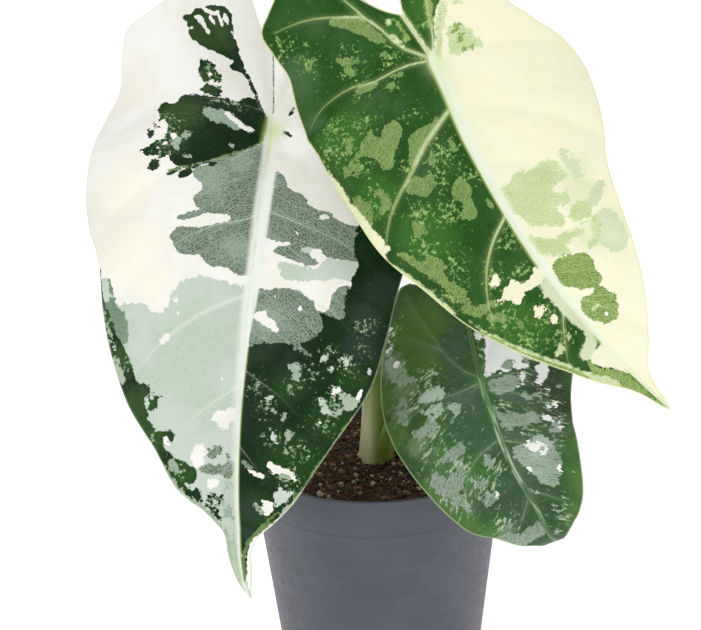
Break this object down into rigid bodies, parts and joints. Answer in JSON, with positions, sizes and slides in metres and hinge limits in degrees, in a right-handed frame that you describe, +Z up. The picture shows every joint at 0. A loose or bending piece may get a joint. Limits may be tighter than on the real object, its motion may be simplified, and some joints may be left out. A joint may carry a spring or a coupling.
{
  "type": "potted alocasia frydek plant",
  "caption": "Potted arrow-leaved aroid with large drooping leaves, marbled dark green, sage and cream, on upright stalks in a plain tapered grey nursery pot.",
  "frame": {"origin": "centre of the pot's floor, on the surface that the pot stands on", "axes": "+Z up along the pot's axis; the leaves face -Y, with +X to the right of someone who looks at them"},
  "size_m": [0.2496, 0.1711, 0.3724],
  "materials": {
    "pot_plastic": "satin",
    "potting_mix": "matte",
    "rootstock_bark": "matte",
    "petiole_green": "satin",
    "leaf_left": "satin",
    "leaf_right": "satin",
    "leaf_low": "satin"
  },
  "bodies": {
    "root": {"pot": "pot_plastic", "soil": "potting_mix", "rootstock": "rootstock_bark", "petiole_left": "petiole_green", "petiole_right": "petiole_green", "petiole_low": "petiole_green", "blade_left": "leaf_left", "blade_right": "leaf_right", "blade_low": "leaf_low"}
  },
  "joints": []
}
